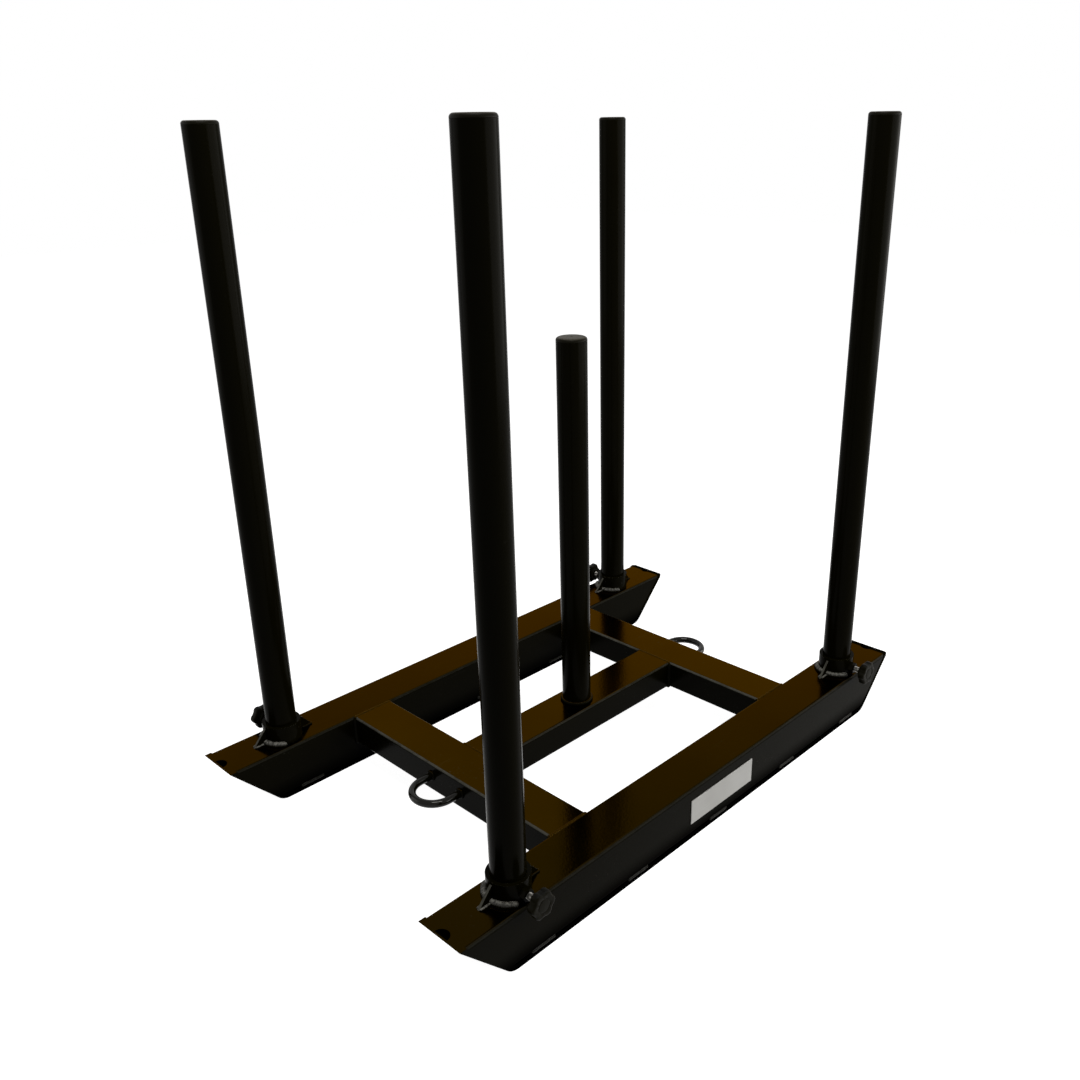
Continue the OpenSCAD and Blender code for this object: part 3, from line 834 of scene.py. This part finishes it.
# Weld beads
def bead_tree():
    """Turns paths into rippled weld beads. Radius and closure come from the path's own attributes."""
    least_taper = 0.12
    mean_wave = 0.8
    tree, given, result = new_group(
        "weld beads",
        [
            ("Geometry", "NodeSocketGeometry", None),
            ("Step", FLOAT, BEAD_STEP),
            ("Ripple spacing", FLOAT, RIPPLE_SPACING),
            ("Ripple depth", FLOAT, RIPPLE_DEPTH),
            ("Wander", FLOAT, BEAD_WANDER),
            ("Paint", "NodeSocketMaterial", None),
        ],
        [("Geometry", "NodeSocketGeometry")],
        "GeometryNodeTree",
    )

    def attribute(name):
        node = add_node(tree, "GeometryNodeInputNamedAttribute", {"Name": name}, data_type="FLOAT")
        return node.outputs[0]

    def vector_math(operation, inputs):
        return add_node(tree, "ShaderNodeVectorMath", inputs, operation=operation).outputs[0]

    curve = add_node(tree, "GeometryNodeMeshToCurve", {"Mesh": given["Geometry"]}).outputs[0]
    inputs = {"Curve": curve, "Length": given["Step"]}
    even = add_node(tree, "GeometryNodeResampleCurve", inputs, mode="LENGTH").outputs[0]
    position = add_node(tree, "GeometryNodeInputPosition").outputs[0]
    inputs = {"Vector": position, "Scale": 140.0, "Detail": 2.0}
    drift = add_node(tree, "ShaderNodeTexNoise", inputs).outputs["Color"]
    drift = vector_math("SUBTRACT", {0: drift, 1: (0.5, 0.5, 0.5)})
    drift = vector_math("SCALE", {0: drift, "Scale": given["Wander"]})
    inputs = {"Geometry": even, "Offset": drift}
    wandered = add_node(tree, "GeometryNodeSetPosition", inputs).outputs[0]
    along = add_node(tree, "GeometryNodeSplineParameter").outputs["Length"]
    whole = add_node(tree, "GeometryNodeSplineLength").outputs[0]
    radius = attribute("bead_radius")

    from_end = calc(tree, "MINIMUM", along, calc(tree, "SUBTRACT", whole, along))
    fall = calc(tree, "SUBTRACT", 1.0, calc(tree, "DIVIDE", from_end, radius, True))
    ends = calc(tree, "SQRT", calc(tree, "SUBTRACT", 1.0, calc(tree, "MULTIPLY", fall, fall)))
    taper = calc(tree, "MAXIMUM", calc(tree, "MAXIMUM", ends, least_taper), attribute("closed"))
    uneven = ramp(tree, noise(tree, position, scale=90.0), low=0.2, high=0.8, to_low=0.92, to_high=1.08)
    scale = calc(tree, "MULTIPLY", calc(tree, "MULTIPLY", radius, taper), uneven)

    beat = calc(tree, "DIVIDE", along, given["Ripple spacing"])
    beat = calc(tree, "ADD", beat, noise(tree, position, scale=120.0))
    wave = calc(tree, "ABSOLUTE", calc(tree, "SINE", calc(tree, "MULTIPLY", beat, math.pi)))
    ripple = calc(tree, "MULTIPLY", calc(tree, "SUBTRACT", wave, mean_wave), given["Ripple depth"])
    scale = calc(tree, "MULTIPLY", scale, calc(tree, "ADD", 1.0, ripple))

    inputs = {"Resolution": BEAD_SIDES, "Radius": 1.0}
    profile = add_node(tree, "GeometryNodeCurvePrimitiveCircle", inputs).outputs[0]
    inputs = {"Curve": wandered, "Profile Curve": profile, "Scale": scale, "Fill Caps": True}
    beads = add_node(tree, "GeometryNodeCurveToMesh", inputs).outputs[0]
    whole_mesh = add_node(tree, "GeometryNodeRealizeInstances", {0: beads}).outputs[0]
    smooth = add_node(tree, "GeometryNodeSetShadeSmooth", {0: whole_mesh}).outputs[0]
    inputs = {"Geometry": smooth, "Material": given["Paint"]}
    painted = add_node(tree, "GeometryNodeSetMaterial", inputs).outputs[0]
    tree.links.new(painted, result["Geometry"])
    return tree


BEAD_TREE = bead_tree()


def make_beads(name, paths, node, material, depth=RIPPLE_DEPTH, wander=BEAD_WANDER):
    """One mesh of rippled beads for the paths (points, radius, closed), standing for a CAD node of beads."""
    mesh = bpy.data.meshes.new(name + "_paths")
    points, edges, radii, closures = [], [], [], []
    for path, radius, closed in paths:
        first = len(points)
        points += path
        edges += [(first + k, first + k + 1) for k in range(len(path) - 1)]
        if closed:
            edges.append((len(points) - 1, first))
        radii += [radius] * len(path)
        closures += [1.0 if closed else 0.0] * len(path)
    mesh.from_pydata(points, edges, [])
    for label, values in (("bead_radius", radii), ("closed", closures)):
        mesh.attributes.new(label, "FLOAT", "POINT").data.foreach_set("value", values)
    guide = bpy.data.objects.new(name + "_paths", mesh)
    scene.collection.objects.link(guide)
    modifier = guide.modifiers.new("beads", "NODES")
    modifier.node_group = BEAD_TREE
    items = [item for item in BEAD_TREE.interface.items_tree if item.in_out == "INPUT"]
    sockets = {item.name: item.identifier for item in items}
    modifier[sockets["Step"]] = BEAD_STEP
    modifier[sockets["Ripple spacing"]] = RIPPLE_SPACING
    modifier[sockets["Ripple depth"]] = depth
    modifier[sockets["Wander"]] = wander
    modifier[sockets["Paint"]] = material
    bpy.context.view_layer.update()
    evaluated = guide.evaluated_get(bpy.context.evaluated_depsgraph_get())
    beads = bpy.data.meshes.new_from_object(evaluated)
    guide.modifiers.remove(modifier)
    bpy.data.objects.remove(guide)
    bm = bmesh.new()
    bm.from_mesh(beads)
    bmesh.ops.recalc_face_normals(bm, faces=bm.faces)
    finish_piece(name, bm, material, "frame", [node], smooth=180.0)


def ring_path(radius, place, count=72):
    """Points of a circle round the local Z axis."""
    return [place @ polar(radius, 2 * math.pi * k / count) for k in range(count)]


def butt_path(half_width, depth, place):
    """Closed path round the end of a flat tube, whose joint lies in the plane X 0 with its top at Z 0."""
    sink, flush, corner = 0.0014, 0.0038, 0.0045
    top, bottom = -flush, sink - depth
    outline = eased([
        (half_width, top, corner),
        (half_width, bottom, corner),
        (-half_width, bottom, corner),
        (-half_width, top, corner),
    ], steps=5)
    path = []
    for y, z in outline:
        flank = min(1.0, max(0.0, (abs(y) - half_width + corner) / corner))
        path.append(place @ Vector((sink * (1 - flank), y, z)))
    return path


def frame_bead_paths():
    """Beads round the ends of cross-members and centre bar, the legs of the loops and the centre post."""
    paths = []
    ring_out, foot_up, foot_out = 0.0006, 0.0024, 0.0002
    for end in (1, -1):
        for side in (1, -1):
            place = Matrix.Translation((end * CROSS_X, side * (RUNNER_Y - RUNNER_HALF), DECK))
            place = place @ Matrix.Rotation(side * math.pi / 2, 4, "Z")
            paths.append((butt_path(CROSS_HALF, CROSS_DEPTH, place), TUBE_BEAD_R, True))
            leg_x = end * (CROSS_X + CROSS_HALF + ring_out)
            leg = Matrix.Translation((leg_x, end * LOOP_OFFSET + side * LOOP_HALF, LOOP_Z))
            ring = leg @ Matrix.Rotation(math.pi / 2, 4, "Y")
            paths.append((ring_path(LOOP_R + ring_out, ring, count=40), LOOP_BEAD_R, True))
        place = Matrix.Translation((end * BAR_END, 0, DECK)) @ facing(end)
        paths.append((butt_path(BAR_HALF, CROSS_DEPTH, place), TUBE_BEAD_R, True))
    foot = Matrix.Translation((CENTRE_POST_X, 0, DECK + foot_up))
    paths.append((ring_path(POST_R + foot_out, foot), FOOT_BEAD_R, True))
    return paths


def skid_bead_paths():
    """Stitches between the skids and both faces of their runners."""
    paths = []
    reach = STITCH_LENGTH / 2
    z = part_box("runner_left")[0].z + STITCH_SINK
    for side in (1, -1):
        for face in (1, -1):
            y = side * RUNNER_Y + face * (RUNNER_HALF - STITCH_SINK)
            for i in range(STITCH_COUNT):
                x = (STITCH_FIRST - reach) * (2 * i / (STITCH_COUNT - 1) - 1)
                line = [Vector((x + reach * t, y, z)) for t in (-1, 0, 1)]
                paths.append((line, STITCH_BEAD_R, False))
    return paths


def socket_bead_paths():
    """The arc beside each rear gusset with the beads on its flanks, and the beads of the front gussets."""
    arc_up, arc_out, arc_steps = 0.0018, 0.0020, 40
    flank_up, flank_out = 0.0009, 0.0009
    radius = SOCKET_R + arc_out
    turns = [SOCKET_BEAD_ANGLE * (2 * k / arc_steps - 1) for k in range(arc_steps + 1)]
    rear, front = [], []
    for corner, (_end, side) in CORNERS.items():
        rear_turn = math.pi if side > 0 else 0.0
        place = at_corner(corner, arc_up) @ Matrix.Rotation(rear_turn, 4, "Z")
        arc = [place @ polar(radius, turn) for turn in turns]
        rear.append((arc, SOCKET_BEAD_R, False))
        for turn in (0, math.pi):
            beads = rear if turn == rear_turn else front
            place = at_corner(corner, flank_up) @ Matrix.Rotation(turn, 4, "Z")
            for flank in (1, -1):
                y = flank * (GUSSET_HALF + flank_out)
                line = [place @ Vector((SOCKET_R + out, y, 0)) for out in GUSSET_BEAD_STOPS]
                beads.append((line, GUSSET_BEAD_R, False))
    return rear, front


# Floor, world and lights
def is_background_ray(tree):
    """1 for what the camera, a reflection or a refraction sees, 0 for light that falls on a surface."""
    rays = add_node(tree, "ShaderNodeLightPath").outputs
    seen = calc(tree, "MAXIMUM", rays["Is Camera Ray"], rays["Is Glossy Ray"])
    return calc(tree, "MAXIMUM", seen, rays["Is Transmission Ray"])


def make_floor():
    """White paper that keeps the sled's shadow, and sends little light back up."""
    size, gap = 9, 0.0004
    paper_grey, shadow_grey = (0.12, 0.12, 0.12, 1), (0.5, 0.5, 0.5, 1)
    bm = bmesh.new()
    bmesh.ops.create_grid(bm, x_segments=1, y_segments=1, size=size)
    mesh = bpy.data.meshes.new("floor")
    bm.to_mesh(mesh)
    bm.free()
    floor = bpy.data.objects.new("floor", mesh)
    floor.location.z = -gap
    scene.collection.objects.link(floor)
    material = bpy.data.materials.new("floor_paper")
    material.use_nodes = True
    tree = material.node_tree
    tree.nodes.remove(tree.nodes["Principled BSDF"])
    paper = add_node(tree, "ShaderNodeBsdfDiffuse", {"Color": paper_grey}).outputs[0]
    shadow = add_node(tree, "ShaderNodeBsdfDiffuse", {"Color": shadow_grey}).outputs[0]
    glow = add_node(tree, "ShaderNodeEmission", {"Color": WHITE, "Strength": 0.96}).outputs[0]
    shown = add_node(tree, "ShaderNodeAddShader", {0: shadow, 1: glow}).outputs[0]
    mixed = add_node(tree, "ShaderNodeMixShader", {0: is_background_ray(tree), 1: paper, 2: shown})
    tree.links.new(mixed.outputs[0], tree.nodes["Material Output"].inputs["Surface"])
    mesh.materials.append(material)


def make_world():
    """White to the eye and in reflections, and a dim light on the sled."""
    dim = 0.10
    world = bpy.data.worlds.new("studio")
    scene.world = world
    world.use_nodes = True
    tree = world.node_tree
    strength = ramp(tree, is_background_ray(tree), low=0.0, high=1.0, to_low=dim)
    fill(tree, tree.nodes["Background"], {"Color": WHITE, "Strength": strength})


def soft_lamp(name, azimuth, elevation, distance, size, power):
    """Area lamp that looks at the middle of the sled, from angles in degrees."""
    target = Vector((0, 0, 0.3))
    data = bpy.data.lights.new(name, "AREA")
    data.shape = "RECTANGLE"
    data.size, data.size_y = size
    data.energy = power
    data.color = LAMP_COLOUR
    lamp = bpy.data.objects.new(name, data)
    away = direction(math.radians(azimuth), math.radians(elevation))
    turn = away.to_track_quat("Z", "Y").to_matrix().to_4x4()
    lamp.matrix_world = Matrix.Translation(target + away * distance) @ turn
    lamp.visible_camera = False
    scene.collection.objects.link(lamp)


def make_lights():
    soft_lamp("lamp_left", azimuth=140, elevation=15, distance=2.8, size=(1.6, 1.6), power=10)
    soft_lamp("lamp_right", azimuth=-50, elevation=13, distance=2.8, size=(4.0, 1.6), power=88)
    soft_lamp("lamp_over", azimuth=-135, elevation=75, distance=2.6, size=(1.2, 0.6), power=45)


# The sled in its scene
place_camera()
for side in ("left", "right"):
    bevelled_coat("runner_" + side, "tube", FRAME_COAT, width=0.0006)
    bevelled_coat("skid_" + side, "bar", SKID_COAT, width=0.0008)
for end, which in ((1, "front"), (-1, "rear")):
    bevelled_coat(which + "_crossmember", "tube", CROSS_COAT, width=0.0007)
    make_tow_loop(end, which + "_tow_loop")
bevelled_coat("centre_bar", "tube", BAR_COAT, width=0.0007)
bevelled_coat("blank_plate", "sheet", PLATE_METAL, width=0.0003)
make_centre_post()
make_cap("centre_post_cap", "frame", CENTRE_POST_X, 0.0)
for corner, (end, side) in CORNERS.items():
    bevelled_coat("socket_" + corner, "sleeve", SLEEVE_COAT, width=0.0006)
    bevelled_coat("gussets_" + corner, "plates", GUSSET_COAT, width=0.0006)
    make_nut(corner)
    make_post(corner)
    make_cap("post_cap_" + corner, "post_" + corner, end * POST_X, side * RUNNER_Y)
    make_screw(corner)
    make_knob(corner)
make_beads("frame_weld_beads", frame_bead_paths(), "frame_welds", WELD_COAT)
make_beads("skid_weld_beads", skid_bead_paths(), "skid_welds", STITCH_COAT, depth=0.3, wander=0.0008)
rear_beads, front_beads = socket_bead_paths()
# The socket arcs carry the painted top highlight; the front gusset beads carry the weld coat
make_beads("socket_weld_beads", rear_beads, "socket_welds", BEAD_COAT, depth=0.3, wander=0.0012)
make_beads("gusset_weld_beads", front_beads, "socket_welds", WELD_COAT)
make_floor()
make_world()
make_lights()
scene.view_settings.view_transform = "Standard"
